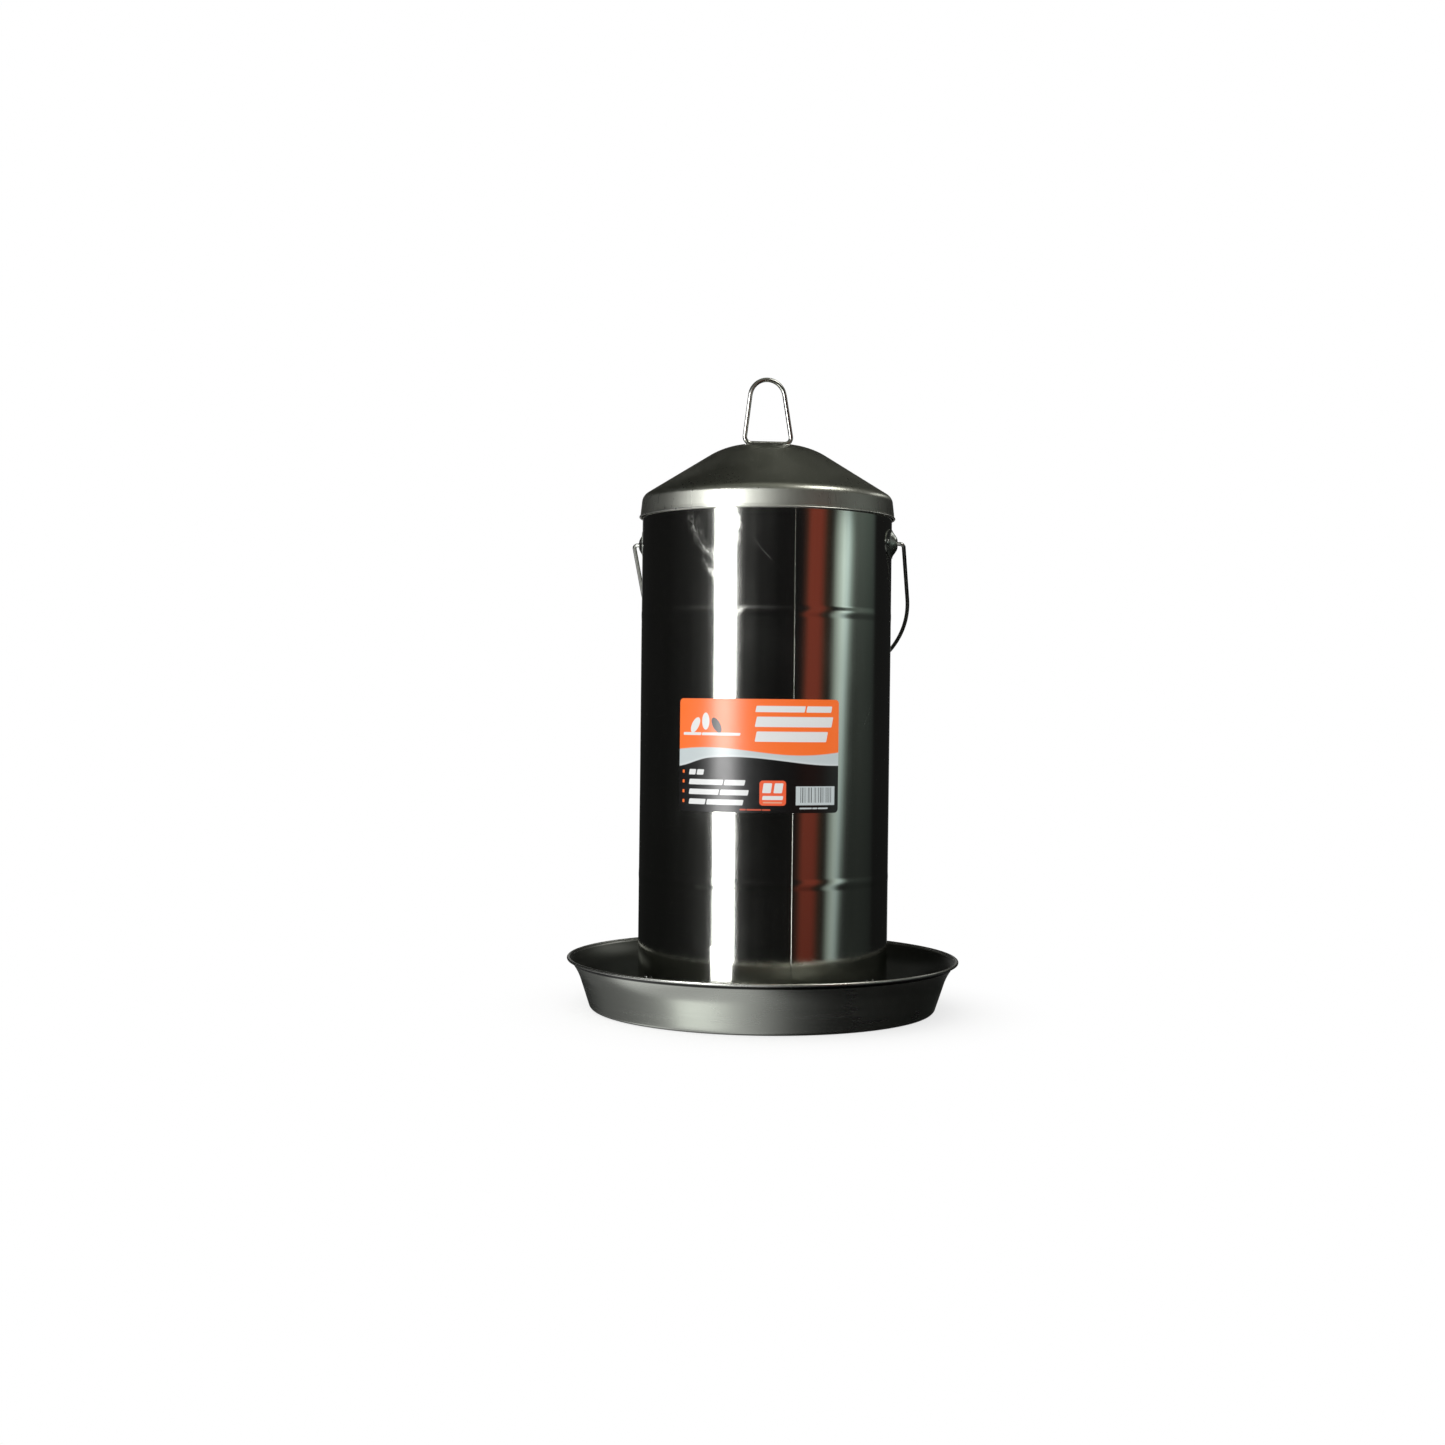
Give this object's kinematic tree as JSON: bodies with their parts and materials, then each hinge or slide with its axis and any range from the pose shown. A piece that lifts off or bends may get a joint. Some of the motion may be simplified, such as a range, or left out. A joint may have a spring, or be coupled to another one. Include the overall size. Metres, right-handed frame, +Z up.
{
  "type": "gravity poultry feeder",
  "caption": "Stainless steel gravity poultry feeder: round grain drum over a shallow pan, lift-off conical lid with wire loop, swinging wire bail.",
  "frame": {"origin": "centre of the pan's underside, on the surface that the feeder stands on", "axes": "+Z up along the drum's axis, X along the bail's pivots, -Y towards the front with the label"},
  "size_m": [0.3984, 0.3984, 0.6428],
  "materials": {
    "drum_steel": "bright annealed stainless sheet, nearly mirror, with fine upright rolling lines",
    "lid_steel": "satin stainless sheet, finely brushed round the lid",
    "pan_steel": "satin stainless sheet, spun",
    "ear_steel": "pressed stainless sheet, satin",
    "inner_steel": "plain mill finish stainless sheet",
    "wire_steel": "drawn stainless wire, semi-bright",
    "fastener_steel": "stainless fasteners, semi-bright",
    "label_print": "printed glossy adhesive label, orange over black with a pale band"
  },
  "bodies": {
    "feeder": {"pan": "pan_steel", "feed_cone": "inner_steel", "cone_rivets": "fastener_steel", "drum_shell": "drum_steel", "label": "label_print", "ear_left": "ear_steel", "ear_right": "ear_steel", "ear_rivets": "fastener_steel", "bracket_1": "inner_steel", "bracket_2": "inner_steel", "bracket_3": "inner_steel", "bracket_rivets": "fastener_steel", "foot_screws": "fastener_steel", "foot_washers": "fastener_steel", "foot_nuts": "fastener_steel"},
    "lid": {"lid_shell": "lid_steel", "lid_loop": "wire_steel"},
    "bail": {"bail": "wire_steel"}
  },
  "joints": [
    {"name": "lid_lift", "type": "slide", "parent": "feeder", "child": "lid", "axis": [0, 0, 1], "range_m": [0, 0.15]},
    {"name": "bail_swing", "type": "hinge", "parent": "feeder", "child": "bail", "pos_m": [0, 0, 0.4725], "axis": [1, 0, 0], "range_deg": [0, 277.1]}
  ]
}
